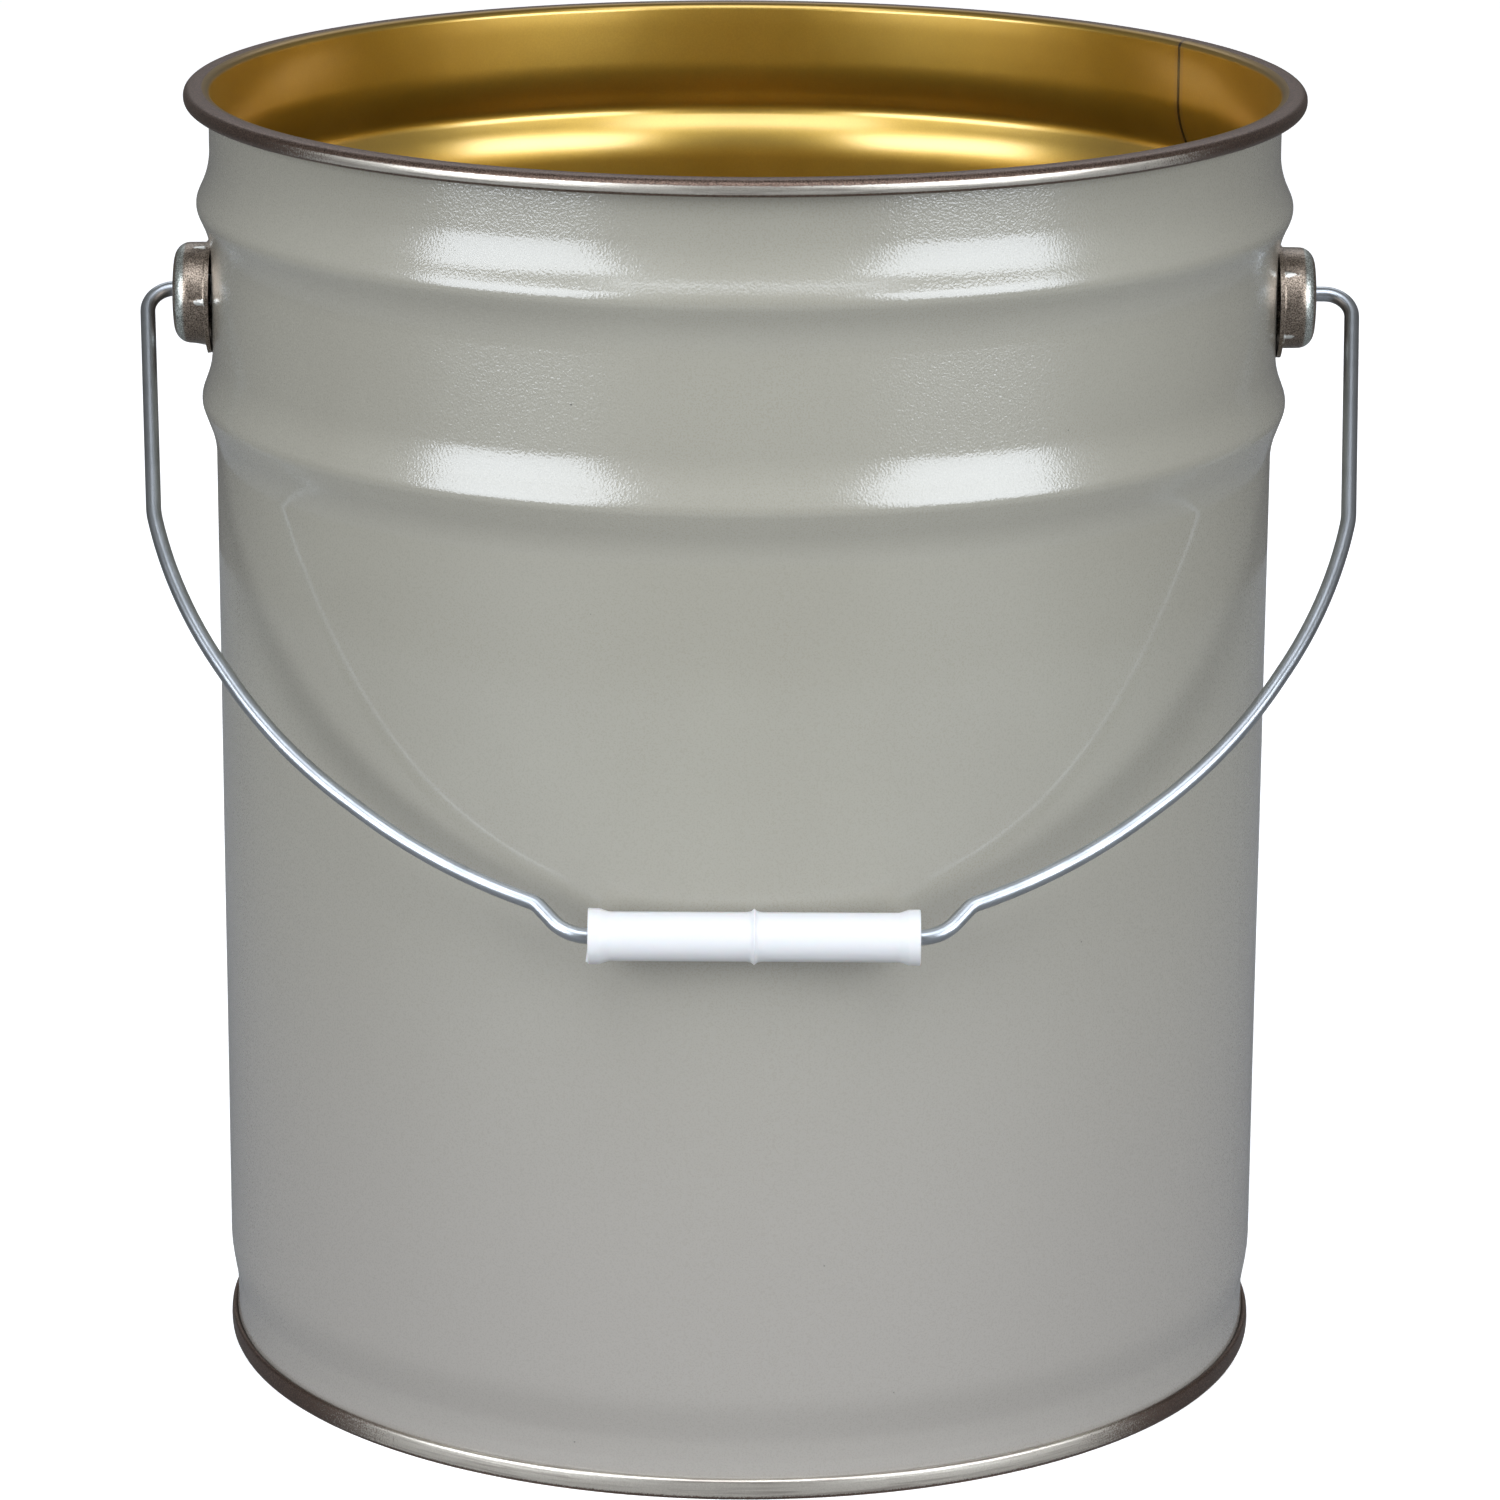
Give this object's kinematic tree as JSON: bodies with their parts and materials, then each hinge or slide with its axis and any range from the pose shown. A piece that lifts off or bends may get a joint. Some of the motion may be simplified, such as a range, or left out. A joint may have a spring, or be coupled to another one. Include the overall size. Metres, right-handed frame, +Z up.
{
  "type": "open-top steel pail",
  "caption": "Straight-sided open-top steel pail with two hoops, a rolled rim, a seamed bottom, cup ears and a wire bail with a plastic grip.",
  "frame": {"origin": "centre of the plane that the pail stands on, on the pail's own axis", "axes": "+Z up along the pail's axis, +X through the right ear's pivot, and -Y to the side where the bail hangs"},
  "size_m": [0.3245, 0.3036, 0.345],
  "materials": {
    "painted_body": "gloss",
    "tinplate": "tarnished",
    "sealing_compound": "matte",
    "ear_steel": "tarnished",
    "zinc_wire": "zinc plated",
    "white_plastic": "satin"
  },
  "bodies": {
    "pail": {"body_shell": "painted_body", "bottom_end": "tinplate", "bottom_seam_compound": "sealing_compound", "ear_cup_left": "ear_steel", "ear_cup_right": "ear_steel"},
    "bail": {"bail_wire": "zinc_wire"},
    "handle": {"grip": "white_plastic"}
  },
  "joints": [
    {"name": "bail_swing", "type": "hinge", "parent": "pail", "child": "bail", "pos_m": [0, 0, 0.2886], "axis": [-1, 0, 0], "range_deg": [0, 264.4]},
    {"name": "grip_spin", "type": "hinge", "parent": "bail", "child": "handle", "pos_m": [0.0032, -0.1483, 0.15396], "axis": [1, 0, 0], "continuous": true}
  ]
}
